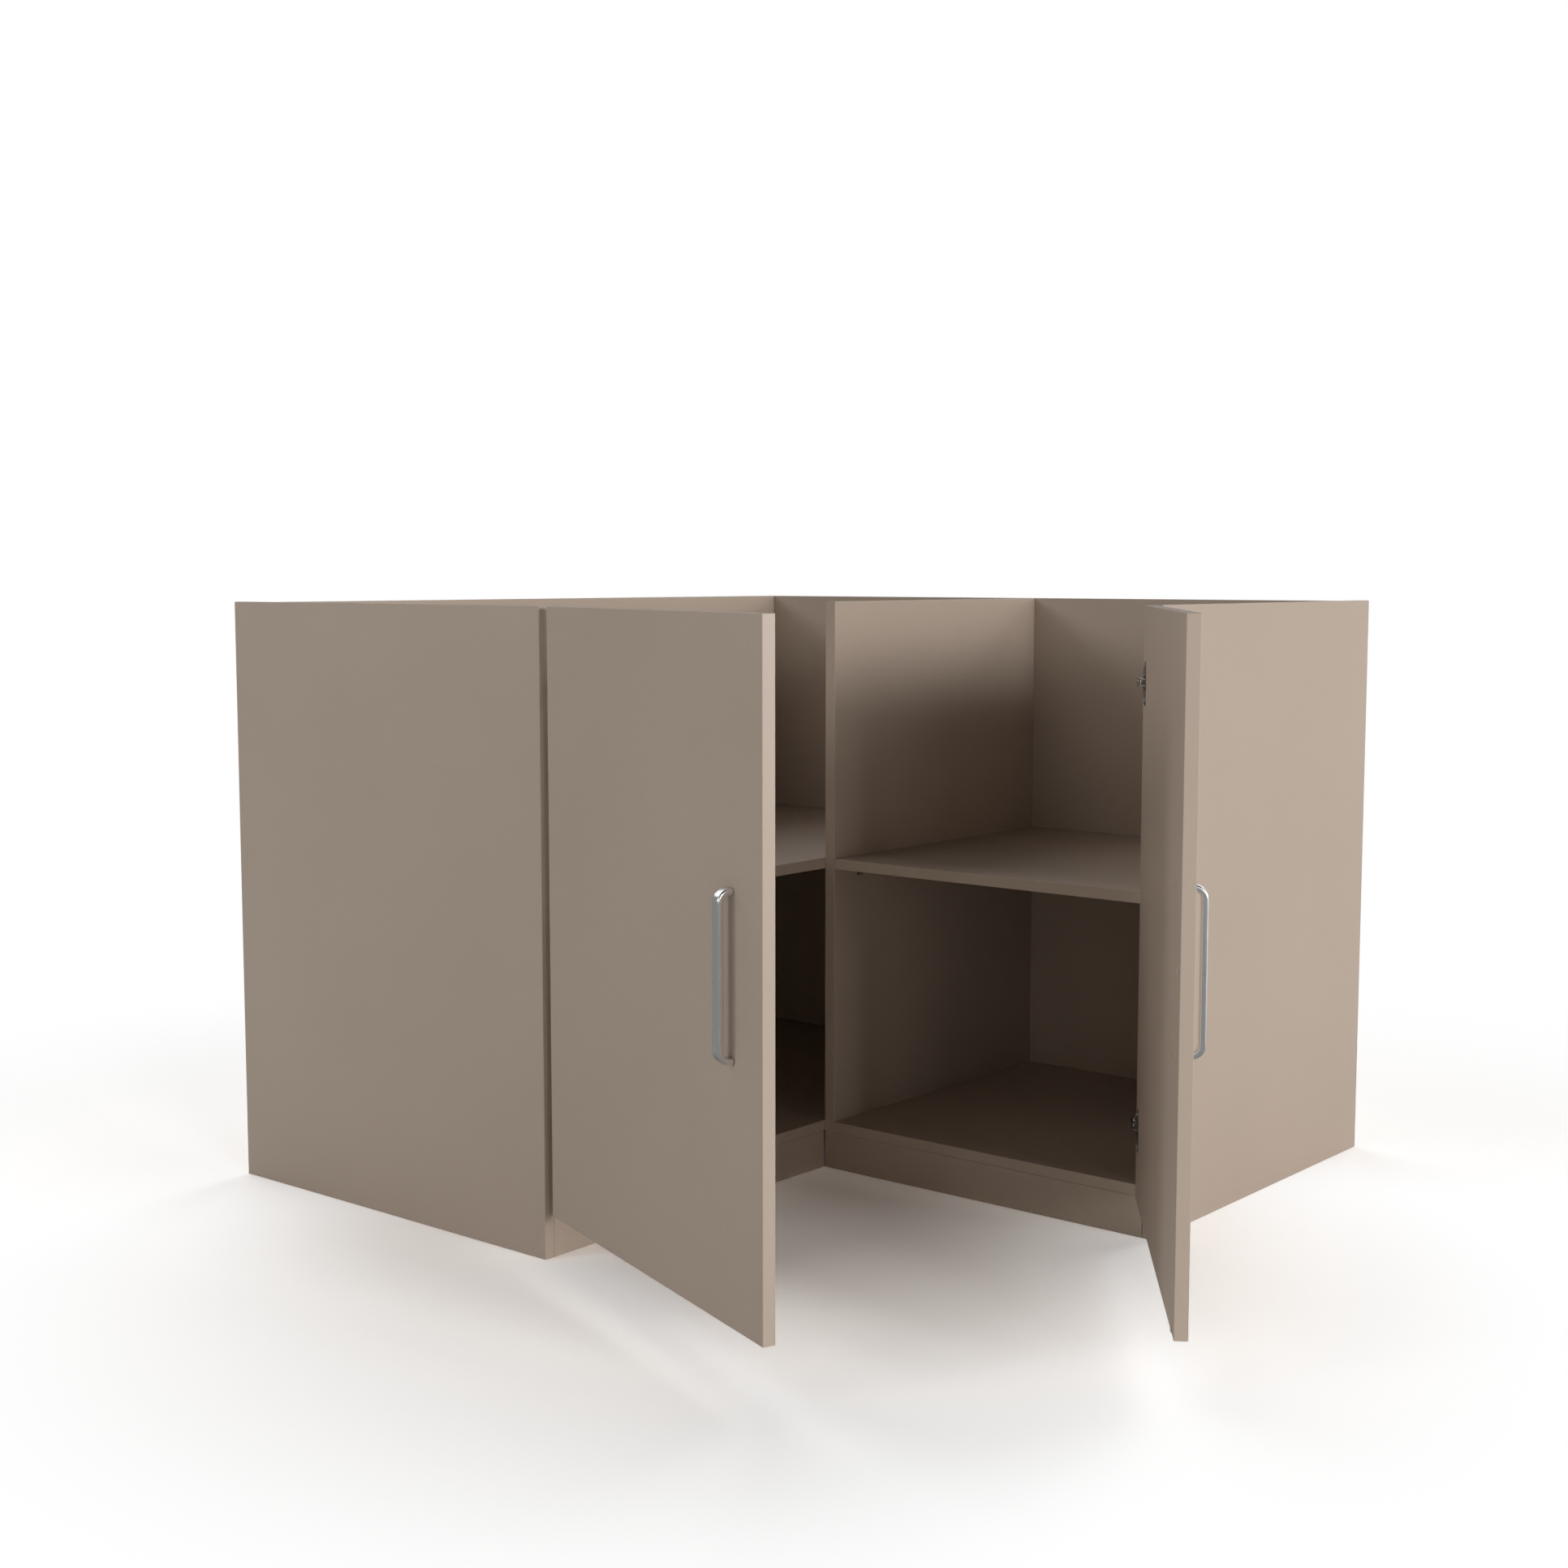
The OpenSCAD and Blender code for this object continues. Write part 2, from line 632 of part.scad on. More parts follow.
// A bow handle: x along its length and y out of the door's face
module bow() {
    for (s = [-1, 1]) translate([s * leg_centre, 0, 0]) rotate([-90, 0, 0])
        linear_extrude(bend_centre[1]) bow_section();
    for (s = [-1, 1]) translate([s * bend_centre[0], bend_centre[1], 0]) rotate(s == 1 ? 0 : 90)
        rotate_extrude(angle = 90) translate([handle_bend - handle_bar / 2, 0]) bow_section();
    translate([-bend_centre[0], handle_projection - handle_bar / 2, 0]) rotate([90, 0, 90])
        linear_extrude(2 * bend_centre[0]) bow_section();
}

module handle(side) color(steel) with_door(side)
    on_door(door_width(side) - handle_inset, handle_middle) difference() {
        rotate([180, -90, 0]) bow();
        for (s = [-1, 1]) translate([0, past, s * leg_centre]) rotate([90, 0, 0])
            cylinder(d = handle_screw + 2 * hair, h = screw_reach + 2 * past);
    }

module handle_screws(side) color(zinc) with_door(side) at_handle_screws(side) {
    rod([0, 0], handle_screw / 2, -door_board - screw_reach, 0);
    difference() {
        rod([0, 0], screw_head / 2, 0, screw_head_height);
        translate([0, 0, screw_head_height]) cross(wide_cross);
    }
}

module left_handle() handle("left");
module right_handle() handle("right");
module left_handle_screws() handle_screws("left");
module right_handle_screws() handle_screws("right");

// A cup let into the door, with a flange for two screws and a pocket for the links
module hinge_cup() {
    difference() {
        union() {
            translate([cup_inset, door_board - cup_depth, 0]) rotate([-90, 0, 0])
                cylinder(d = cup_diameter, h = cup_depth);
            translate([cup_inset, door_board, 0]) rotate([-90, 0, 0]) {
                rod([0, 0], cup_diameter / 2 + cup_rim, 0, flange);
                translate([cup_screw_offset - cup_ear, -cup_screw_spacing / 2, 0])
                    cube([2 * cup_ear, cup_screw_spacing, flange]);
            }
            at_cup_screws() rod([0, 0], cup_ear, 0, flange);
        }
        block([pocket_from, pocket_floor, -pocket_half],
            [pocket_to, door_board + flange + past, pocket_half]);
        rod(cup_pin_place, pin_r + press, -pocket_half - cup_pin_seat, pocket_half + cup_pin_seat);
        at_cup_screws() rod([0, 0], cup_screw_r + hair, -past, flange + past);
    }
}

module hinge_cups(side) color(steel) with_door(side) for (z = hinge_levels) on_door(0, z) hinge_cup();

module cup_screws(side) color(zinc) with_door(side) for (z = hinge_levels) on_door(0, z) at_cup_screws() {
    rod([0, 0], cup_screw_r, -cup_screw_length, flange);
    difference() {
        rod([0, 0], cup_screw_head[0], flange, flange + cup_screw_head[1]);
        translate([0, 0, flange + cup_screw_head[1]]) cross(small_cross);
    }
}

module cup_pins(side) color(steel) with_door(side) at_hinges()
    rod(cup_pin_at, pin_r, -pocket_half - cup_pin_seat, pocket_half + cup_pin_seat);

module left_hinge_cups() hinge_cups("left");
module right_hinge_cups() hinge_cups("right");
module left_cup_screws() cup_screws("left");
module right_cup_screws() cup_screws("right");
module left_cup_pins() cup_pins("left");
module right_cup_pins() cup_pins("right");

// Soft buttons on the door's inner face that meet the edges of the bottom and the shelf
module bumpers(side) color([0.8, 0.8, 0.78]) with_door(side)
    for (z = [(door_bottom + bottom_top) / 2, shelf_top - board / 2])
        on_door(door_width(side) - bumper_inset, z) translate([0, door_board, 0]) rotate([-90, 0, 0])
            cylinder(r = bumper_r, h = door_gap - bumper_air);

module left_bumpers() bumpers("left");
module right_bumpers() bumpers("right");

left_end_panel();
right_end_panel();
divider();
left_back_panel();
right_back_panel();
left_bottom();
right_bottom();
left_plinth();
right_plinth();
left_shelf();
right_shelf();
left_shelf_supports();
right_shelf_supports();
cam_housings();
cam_bolts();
dowels();
plinth_dowels();
left_mounting_plates();
right_mounting_plates();
plate_screws();
left_hinge_arms();
right_hinge_arms();
arm_pins();
adjusting_screws();
left_door();
left_door_edging();
left_handle();
left_handle_screws();
left_hinge_cups();
left_cup_screws();
left_cup_pins();
left_bumpers();
right_door();
right_door_edging();
right_handle();
right_handle_screws();
right_hinge_cups();
right_cup_screws();
right_cup_pins();
right_bumpers();
left_inner_links();
left_outer_links();
left_elbow_pins();
right_inner_links();
right_outer_links();
right_elbow_pins();
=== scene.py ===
# %% [markdown]
# # A corner base cabinet in a white studio
# The cabinet is a kitchen base unit that turns a corner: two boxes in an L, made of coated chipboard,
# with a door and a bow handle on each arm, and open at the top for a worktop. Its boards, hinges and
# fittings come ready made at their real size, one object a piece. This lesson gives them their finishes
# and soft edges, makes the pieces that need a finer mesh, and sets the camera, the floor and the light.

# %% Load the construction
import math

import bmesh
import bpy
import json
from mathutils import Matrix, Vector


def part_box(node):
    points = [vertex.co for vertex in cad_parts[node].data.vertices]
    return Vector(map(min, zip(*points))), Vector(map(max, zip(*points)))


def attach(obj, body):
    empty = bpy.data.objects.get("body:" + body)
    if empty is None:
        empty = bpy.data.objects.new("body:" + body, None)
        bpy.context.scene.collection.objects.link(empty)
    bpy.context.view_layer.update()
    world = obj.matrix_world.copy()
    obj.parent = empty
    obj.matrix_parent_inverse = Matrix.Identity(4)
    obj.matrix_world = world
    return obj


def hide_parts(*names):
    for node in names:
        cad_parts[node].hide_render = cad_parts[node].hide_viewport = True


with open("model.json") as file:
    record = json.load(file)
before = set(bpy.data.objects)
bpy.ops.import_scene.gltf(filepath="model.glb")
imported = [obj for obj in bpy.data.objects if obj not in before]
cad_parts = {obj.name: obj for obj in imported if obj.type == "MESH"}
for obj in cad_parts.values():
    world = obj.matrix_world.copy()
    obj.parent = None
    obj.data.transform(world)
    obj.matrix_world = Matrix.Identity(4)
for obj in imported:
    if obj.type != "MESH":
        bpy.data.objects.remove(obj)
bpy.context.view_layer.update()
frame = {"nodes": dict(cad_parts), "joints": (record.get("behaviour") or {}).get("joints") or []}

# %% [markdown]
# ## The camera
# The picture is square, taken from the front left, a few centimetres above the tops and looking
# slightly down. A camera can be placed by trial, or worked out from edges that meet at right angles.
# The second way gave the numbers here: the place in metres, the turn from the +X axis, the dip below
# the horizon and the lens.

# %% Place the camera
camera_place = Vector((-3.1008, -2.6276, 0.892))
camera_turn = math.radians(39.86)
camera_dip = math.radians(5.60)
sensor = 36.0
image_side = 1932
focal_pixels = 2655.8

camera_data = bpy.data.cameras.new("camera")
camera_data.sensor_width = sensor
camera_data.lens = focal_pixels * sensor / image_side
camera = bpy.data.objects.new("camera", camera_data)
bpy.context.scene.collection.objects.link(camera)
look = Vector((math.cos(camera_dip) * math.cos(camera_turn), math.cos(camera_dip) * math.sin(camera_turn),
               -math.sin(camera_dip)))
camera.location = camera_place
camera.rotation_euler = look.to_track_quat("-Z", "Y").to_euler()
bpy.context.scene.camera = camera
bpy.context.scene.view_settings.view_transform = "Standard"
print("lens:", round(camera_data.lens, 2), "mm")

# %% [markdown]
# ## Node helpers
# Every finish is a small node tree around one Principled shader. A few helpers keep each tree short:
# they make a node and set its inputs, do sums on values and vectors, make noise that is measured in
# metres on the piece, and turn a height into a bump. The noise uses each piece's own coordinates, so
# that it moves with a door.

# %% Make the node helpers
def put(tree, socket, value):
    """Links another node's output to an input, or sets the input to a value."""
    if isinstance(value, bpy.types.NodeSocket):
        tree.links.new(value, socket)
    else:
        socket.default_value = value


def node(tree, kind, **inputs):
    """One node, with its inputs set or linked."""
    made = tree.nodes.new(kind)
    for name, value in inputs.items():
        put(tree, made.inputs[name.replace("_", " ")], value)
    return made


def worked(tree, operation, first, second):
    """What a sum, a product or a comparison of two values gives."""
    made = tree.nodes.new("ShaderNodeMath")
    made.operation = operation
    put(tree, made.inputs[0], first)
    put(tree, made.inputs[1], second)
    return made.outputs[0]


def vector_worked(tree, operation, *vectors):
    """The same for vectors. A distance and a dot product come out as a value."""
    made = tree.nodes.new("ShaderNodeVectorMath")
    made.operation = operation
    for socket, vector in zip(made.inputs, vectors):
        put(tree, socket, vector)
    return made.outputs["Value" if operation in ("DISTANCE", "DOT_PRODUCT") else "Vector"]


def spread(tree, value, low, high, start=0.3, end=0.7):
    """Maps a value onto another range. Noise rarely leaves the range from 0.3 to 0.7."""
    mapped = node(tree, "ShaderNodeMapRange", Value=value, From_Min=start, From_Max=end,
                  To_Min=low, To_Max=high)
    return mapped.outputs["Result"]


def tinted(tree, factor, dark, light):
    """A colour between two, by a factor."""
    mix = tree.nodes.new("ShaderNodeMix")
    mix.data_type = "RGBA"
    tree.links.new(factor, mix.inputs["Factor"])
    mix.inputs["A"].default_value = (*dark, 1)
    mix.inputs["B"].default_value = (*light, 1)
    return mix.outputs["Result"]


def grain(tree, size, stretch=(1, 1, 1), detail=3.0):
    """Noise with features of about that size in metres, from 0 to 1."""
    place = node(tree, "ShaderNodeTexCoord").outputs["Object"]
    scaled = node(tree, "ShaderNodeMapping", Vector=place, Scale=stretch).outputs[0]
    return node(tree, "ShaderNodeTexNoise", Vector=scaled, Scale=1 / size, Detail=detail).outputs["Fac"]


def bumped(tree, shader, height, depth):
    """Puts a bump of that depth in metres on the shader."""
    bump = node(tree, "ShaderNodeBump", Height=height, Distance=depth, Strength=1.0)
    tree.links.new(bump.outputs["Normal"], shader.inputs["Normal"])


def new_finish(name):
    """A material with an empty Principled shader."""
    material = bpy.data.materials.new(name)
    material.use_nodes = True
    shader = next(n for n in material.node_tree.nodes if n.type == "BSDF_PRINCIPLED")
    return material, material.node_tree, shader


def shade(colour, factor):
    """A lighter or darker version of a colour."""
    return tuple(min(1.0, c * factor) for c in colour)


print("node helpers are ready")

# %% [markdown]
# ## The coated board
# The boards are chipboard with a matt melamine coat in a warm taupe. The coat is a printed paper under
# resin: nearly one colour, with a fine orange-peel grain that softens every reflection. Up close the
# print has a slight mottle, so the colour wanders by two or three percent at two scales, and the
# roughness with it. The same recipe, smoother and more even, makes the plastic edging round the doors.
# Its colour is a little paler than the board's. Part of that is the edging's own tone, and part is painted
# light standing in for the brighter light on the doors' free edges.

# %% Mix the board finishes
taupe = (0.472, 0.383, 0.311)
cloud_size = 0.22
mottle_size = 0.004
peel_size = 0.0011
both_low, both_high = 0.7, 1.3  # how low and how high two noises come when they are added up
coat_ior = 1.45


def coated(name, colour, rough, shine, wander, peel_depth):
    """A coat whose colour and roughness wander by a share, under a fine peel."""
    material, tree, shader = new_finish(name)
    mottle = grain(tree, mottle_size, detail=4.0)
    both = worked(tree, "ADD", grain(tree, cloud_size, detail=2.0), mottle)
    share = spread(tree, both, 0.0, 1.0, start=both_low, end=both_high)
    colours = tinted(tree, share, shade(colour, 1 - wander), shade(colour, 1 + wander))
    tree.links.new(colours, shader.inputs["Base Color"])
    tree.links.new(spread(tree, mottle, rough - wander, rough + wander), shader.inputs["Roughness"])
    shader.inputs["IOR"].default_value = coat_ior
    shader.inputs["Specular IOR Level"].default_value = shine
    bumped(tree, shader, grain(tree, peel_size, detail=2.0), peel_depth)
    return material


board_finish = coated("coated_board", taupe,
                      rough=0.46, shine=0.3, wander=0.025, peel_depth=0.00006)
# The edging's paler colour is partly its own tone and partly painted light for the brightly lit free edges.
edging_finish = coated("edging", shade(taupe, 1.06),
                       rough=0.34, shine=0.5, wander=0.007, peel_depth=0.000008)
print("board colour:", taupe)

# %% [markdown]
# ## The metals
# The handles are satin steel, brushed along their length. Brushing leaves hair lines, so the noise is
# stretched a hundredfold along z, and it moves the colour and a very shallow bump. The steel itself is
# bright: it looks dark where it mirrors a dark part of the studio. The hinges are a dark nickel, the
# cams, screws and plates zinc: cast and stamped pieces with a cloudy, slightly pitted skin. Both come
# from one recipe.

# %% Mix the metal finishes
hair_size = 0.0004
hair_stretch = (1, 1, 0.01)
hair_depth = 0.0000015
hair_contrast = 0.03
smear_size = 0.03
smear_rough = 0.03
stretched_shine = 0.3
plating_size = 0.006
plating_dark, plating_light = 0.86, 1.06
plating_smoother, plating_rougher = 0.06, 0.08
pit_size = 0.0006
pit_depth = 0.00002


def brushed(name, colour, rough):
    """Steel with hair lines along z."""
    material, tree, shader = new_finish(name)
    hair = grain(tree, hair_size, stretch=hair_stretch, detail=2.0)
    smear = grain(tree, smear_size, detail=2.0)
    colours = tinted(tree, hair, shade(colour, 1 - hair_contrast), shade(colour, 1 + hair_contrast))
    tree.links.new(colours, shader.inputs["Base Color"])
    roughness = spread(tree, smear, rough - smear_rough, rough + smear_rough)
    tree.links.new(roughness, shader.inputs["Roughness"])
    shader.inputs["Metallic"].default_value = 1.0
    shader.inputs["Anisotropic"].default_value = stretched_shine
    bumped(tree, shader, hair, hair_depth)
    return material


def plated(name, colour, rough):
    """Metal with a cloudy, pitted plating."""
    material, tree, shader = new_finish(name)
    cloud = grain(tree, plating_size, detail=4.0)
    colours = tinted(tree, cloud, shade(colour, plating_dark), shade(colour, plating_light))
    tree.links.new(colours, shader.inputs["Base Color"])
    roughness = spread(tree, cloud, rough - plating_smoother, rough + plating_rougher)
    tree.links.new(roughness, shader.inputs["Roughness"])
    shader.inputs["Metallic"].default_value = 1.0
    bumped(tree, shader, grain(tree, pit_size, detail=2.0), pit_depth)
    return material


handle_finish = brushed("satin_steel", (0.84, 0.84, 0.85), rough=0.22)
nickel_finish = plated("dark_nickel", (0.30, 0.265, 0.235), rough=0.42)
pin_finish = plated("pin_steel", (0.30, 0.29, 0.28), rough=0.38)
zinc_finish = plated("zinc", (0.60, 0.61, 0.62), rough=0.38)
print("metals:", handle_finish.name, nickel_finish.name, pin_finish.name, zinc_finish.name)

# %% [markdown]
# ## Wood and plastic
# The dowels are beech: pale, with short darker flecks along the grain. The bumpers are a soft plastic
# in a paler tone of the board's colour. Light enters it a little way, which subsurface light gives.

# %% Mix the beech and the bumper plastic
fleck_size = 0.0016
fleck_stretch = (0.2, 0.2, 1)
fleck_depth = 0.0001
beech_dark, beech_light = (0.50, 0.32, 0.17), (0.66, 0.47, 0.29)
beech_smooth, beech_rough = 0.55, 0.70
plastic_size = 0.002
plastic_dark, plastic_light = (0.46, 0.41, 0.36), (0.52, 0.47, 0.42)
plastic_smooth, plastic_rough = 0.28, 0.36
light_entering = 0.2
light_reach = 0.002


def beech_wood(name):
    """Pale wood with flecks."""
    material, tree, shader = new_finish(name)
    flecks = grain(tree, fleck_size, stretch=fleck_stretch)
    colour = tinted(tree, spread(tree, flecks, 0, 1), beech_dark, beech_light)
    tree.links.new(colour, shader.inputs["Base Color"])
    tree.links.new(spread(tree, flecks, beech_smooth, beech_rough), shader.inputs["Roughness"])
    bumped(tree, shader, flecks, fleck_depth)
    return material


def soft_plastic(name):
    """Smooth plastic that light enters."""
    material, tree, shader = new_finish(name)
    cloud = grain(tree, plastic_size, detail=2.0)
    tree.links.new(tinted(tree, cloud, plastic_dark, plastic_light), shader.inputs["Base Color"])
    tree.links.new(spread(tree, cloud, plastic_smooth, plastic_rough), shader.inputs["Roughness"])
    shader.inputs["Subsurface Weight"].default_value = light_entering
    shader.inputs["Subsurface Radius"].default_value = (light_reach, light_reach, light_reach)
    return material


beech_finish = beech_wood("beech")
bumper_finish = soft_plastic("bumper_plastic")
print("others:", beech_finish.name, bumper_finish.name)

# %% [markdown]
# ## Which edges to soften
# A sharp edge has no width, so it never catches the light. Real board edges are broken by up to a
# millimetre, and that is the thin line along the top of a door. A Bevel modifier gives it, but the
# boards are full of holes for pegs and cams, and a bevel of a millimetre would fold over on their short
# edges. So a small node group marks the edges first. An edge is marked when it is long, sharp, and
# faces away from the middle of the board.

# %% Mark the long outer edges
sharp_angle = math.radians(50)
shortest_edge = 0.009


def box_middle(group, geometry):
    """The middle of a mesh's box."""
    box = node(group, "GeometryNodeBoundBox", Geometry=geometry).outputs
    middle = node(group, "ShaderNodeMix", Factor=0.5)
    middle.data_type = "VECTOR"
    sockets = [i for i in middle.inputs if i.enabled and i.name in "AB"]
    for corner, socket in zip((box["Min"], box["Max"]), sockets):
        group.links.new(corner, socket)
    return next(o for o in middle.outputs if o.enabled)


def mark_long_edges():
    """A modifier group that gives a bevel weight to the long, sharp, outer edges alone."""
    group = bpy.data.node_groups.new("mark_long_edges", "GeometryNodeTree")
    for way in ("INPUT", "OUTPUT"):
        group.interface.new_socket(name="Geometry", in_out=way, socket_type="NodeSocketGeometry")
    entry = group.nodes.new("NodeGroupInput").outputs[0]
    ends = node(group, "GeometryNodeInputMeshEdgeVertices").outputs
    length = vector_worked(group, "DISTANCE", ends["Position 1"], ends["Position 2"])
    angle = node(group, "GeometryNodeInputMeshEdgeAngle").outputs["Unsigned Angle"]
    place = node(group, "GeometryNodeInputPosition").outputs[0]
    away = vector_worked(group, "SUBTRACT", place, box_middle(group, entry))
    normal = node(group, "GeometryNodeInputNormal").outputs["Normal"]
    outward = vector_worked(group, "DOT_PRODUCT", away, normal)
    marked = worked(group, "GREATER_THAN", length, shortest_edge)
    for value, least in ((angle, sharp_angle), (outward, 0.0)):
        marked = worked(group, "MULTIPLY", marked, worked(group, "GREATER_THAN", value, least))
    store = node(group, "GeometryNodeStoreNamedAttribute", Geometry=entry, Name="bevel_weight_edge")
    store.data_type = "FLOAT"
    store.domain = "EDGE"
    group.links.new(marked, next(i for i in store.inputs if i.name == "Value" and i.enabled))
    group.links.new(store.outputs[0], group.nodes.new("NodeGroupOutput").inputs[0])
    return group


long_edges = mark_long_edges()
print("edges longer than", round(1000 * shortest_edge), "mm get a bevel")

# %% [markdown]
# ## Dress the ready made pieces
# Each piece gets its finish, and most get soft edges. The imported meshes come with split corners, so a
# Weld modifier joins them first. Small metal pieces get a much finer bevel on all their sharp edges.

# %% Dress the ready made pieces
weld_reach = 0.00001
board_edge = 0.0010
edging_edge = 0.0009
cast_edge = 0.0003
sheet_edge = 0.0002


def dress(name, material, edge=0.0, segments=2, long_only=False):
    """Gives a ready made piece its finish and its soft edges."""
    piece = frame["nodes"][name]
    piece.data.materials.clear()
    piece.data.materials.append(material)
    if edge:
        weld = piece.modifiers.new("weld", "WELD")
        weld.merge_threshold = weld_reach
        if long_only:
            piece.modifiers.new("mark_long_edges", "NODES").node_group = long_edges
        bevel = piece.modifiers.new("soft_edges", "BEVEL")
        bevel.width = edge
        bevel.segments = segments
        bevel.limit_method = "WEIGHT" if long_only else "ANGLE"
        bevel.angle_limit = sharp_angle
        bevel.use_clamp_overlap = not long_only
        bevel.harden_normals = True


for name in ("left_end_panel", "right_end_panel", "divider", "left_back_panel", "right_back_panel",
             "left_bottom", "right_bottom", "left_plinth", "right_plinth", "left_shelf", "right_shelf"):
    dress(name, board_finish, board_edge, long_only=True)
for side in ("left_", "right_"):
    dress(side + "door", board_finish)
    dress(side + "door_edging", edging_finish, edging_edge, segments=3, long_only=True)
    for name in ("hinge_cups", "hinge_arms", "inner_links", "outer_links", "shelf_supports"):
        dress(side + name, nickel_finish, sheet_edge)
    dress(side + "mounting_plates", zinc_finish, cast_edge)
    dress(side + "handle_screws", edging_finish)
    dress(side + "cup_screws", zinc_finish)
    dress(side + "cup_pins", pin_finish)
    dress(side + "elbow_pins", pin_finish)
for name in ("cam_housings", "cam_bolts", "plate_screws", "adjusting_screws"):
    dress(name, zinc_finish)
dress("arm_pins", pin_finish)
for name in ("dowels", "plinth_dowels"):
    dress(name, beech_finish)
print("soft edges:", 1000 * board_edge, "mm on boards,", 1000 * edging_edge, "mm on edgings")

# %% [markdown]
# ## Where a door stands
# Each door has its own directions: along it from the hinge edge, and out of its face. They follow from
# how far the door stands open, which is the angle that its joint turns to close it. The hinge axis runs
# 1.5 mm inside the door's edge and 2.5 mm behind its face, so a point on the door can be given by three
# plain distances.

# %% Work out each door's directions
axis_inset = 0.0015
axis_depth = 0.0025
door_thick = 0.016


def door_joint(side):
    """The joint that the door turns on."""
    return next(j for j in frame["joints"] if j["name"] == side + "_door_hinge")


def door_directions(side):
    """Along the door from its hinge edge, and out of its face."""
    angle = math.radians(max(abs(v) for v in door_joint(side)["range_deg"]))
    c, s = math.cos(angle), math.sin(angle)
    if side == "left":
        return Vector((c, -s, 0)), Vector((-s, -c, 0))
    return Vector((-s, c, 0)), Vector((-c, -s, 0))


def door_point(side, from_edge, out_of_face, height):
    """A point on a door as it stands, from its hinge edge, its face and the floor."""
    along, out = door_directions(side)
    axis = Vector(door_joint(side)["pos_m"])
    place = axis + along * (from_edge - axis_inset) + out * (out_of_face + axis_depth)
    place.z = height
    return place


def door_width(side):
    """The door's width, from the box of its edging, which holds some of its thickness too."""
    along, out = door_directions(side)
    low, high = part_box(side + "_door_edging")
    return ((high - low).x - door_thick * abs(out.x)) / abs(along.x)


for side in ("left", "right"):
    print(side, "door is", round(1000 * door_width(side)), "mm wide")

# %% [markdown]
# ## From a mesh to a piece
# The handles and the bumpers are both built from rings of points. Rings need a skin between them, and
# the mesh needs an object. The curved sides are shaded smooth, and the flat ends stay flat: they are
# the faces with many corners.

# %% Make the mesh helpers
many_corners = 5


def join_rings(mesh, rings):
    """A skin of faces with four corners between rings of points."""
    for first, second in zip(rings, rings[1:]):
        for k in range(len(first)):
            mesh.faces.new((first[k - 1], first[k], second[k], second[k - 1]))


def new_object(name, mesh, material):
    """An object in the scene, from a built mesh."""
    data = bpy.data.meshes.new(name)
    mesh.to_mesh(data)
    mesh.free()
    data.materials.append(material)
    made = bpy.data.objects.new(name, data)
    bpy.context.scene.collection.objects.link(made)
    return made


def new_piece(name, mesh, material):
    """The same with its faces turned outward and its sides smooth."""
    bmesh.ops.recalc_face_normals(mesh, faces=mesh.faces)
    piece = new_object(name, mesh, material)
    for face in piece.data.polygons:
        face.use_smooth = len(face.vertices) < many_corners
    return piece


print("mesh helpers are ready")

# %% [markdown]
# ## The bow handles
# A handle is one flat steel bar with rounded long edges, bent at both ends into legs that meet the
# door. It could be a curve with a bevel profile, but then the section would twist or pinch in the tight
# bends. Sweeping the section by hand, ring by ring, keeps every corner true, and the ends stay flat on
# the door.

# %% Sweep the handles
handle_long = 0.195
handle_wide = 0.015
handle_thick = 0.008
handle_out = 0.020
handle_bend = 0.016
handle_edge = 0.0025
handle_inset = 0.070
outer_ring = 0.9  # where the last rings of the straight part are, as a share of its half


def rounded_section(wide, thick, radius, steps=6):
    """Points round a rectangle with round corners, as (across, through)."""
    points = []
    for quarter, (sx, sy) in enumerate(((1, 1), (-1, 1), (-1, -1), (1, -1))):
        centre = (sx * (wide / 2 - radius), sy * (thick / 2 - radius))
        for step in range(steps + 1):
            turn = math.radians(90 * (quarter + step / steps))
            points.append((centre[0] + radius * math.cos(turn), centre[1] + radius * math.sin(turn)))
    return points


def bow_line(steps=12):
    """The bar's middle line from foot to foot, as (height, out, tangent angle)."""
    bend = handle_bend - handle_thick / 2
    leg = handle_long / 2 - handle_thick / 2
    top = handle_out - handle_thick / 2
    line = [(-leg, 0.0, 90.0), (-leg, (top - bend) / 2, 90.0)]
    for step in range(steps + 1):
        turn = 90 * step / steps
        line.append((-leg + bend - bend * math.cos(math.radians(turn)),
                     top - bend + bend * math.sin(math.radians(turn)), 90.0 - turn))
    for share in (-outer_ring, 0.0, outer_ring):
        line.append((share * (leg - bend), top, 0.0))
    for step in range(steps + 1):
        turn = 90 * step / steps
        line.append((leg - bend + bend * math.sin(math.radians(turn)),
                     top - bend + bend * math.cos(math.radians(turn)), -turn))
    line += [(leg, (top - bend) / 2, -90.0), (leg, 0.0, -90.0)]
    return line


def sweep_handle(side):
    """One handle, on the door as it stands."""
    along, out = door_directions(side)
    low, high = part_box(side + "_handle")
    foot = door_point(side, door_width(side) - handle_inset, 0, (low.z + high.z) / 2)
    mesh = bmesh.new()
    rings = []
    for height, reach, tangent in bow_line():
        turn = math.radians(tangent)
        ring = []
        for across, through in rounded_section(handle_wide, handle_thick, handle_edge):
            place = foot + along * across + out * (reach + through * math.cos(turn))
            place.z = foot.z + height - through * math.sin(turn)
            ring.append(mesh.verts.new(place))
        rings.append(ring)
    join_rings(mesh, rings)
    mesh.faces.new(rings[0])
    mesh.faces.new(rings[-1])
    piece = new_piece(side + "_bow_handle", mesh, handle_finish)
    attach(piece, side + "_door")
    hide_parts(side + "_handle")
    print(piece.name, len(piece.data.vertices), "points")


for side in ("left", "right"):
    sweep_handle(side)

# %% [markdown]
# ## The bumpers
# Two small buttons of tinted plastic on each door's inner face land softly on the bottom and the shelf.
# Each is a low dome, so its outline is turned round an axis out of the door.

# %% Turn the bumpers
bumper_radius = 0.0045
bumper_high = 0.0017
bumper_inset = 0.025
rim_share = 0.35


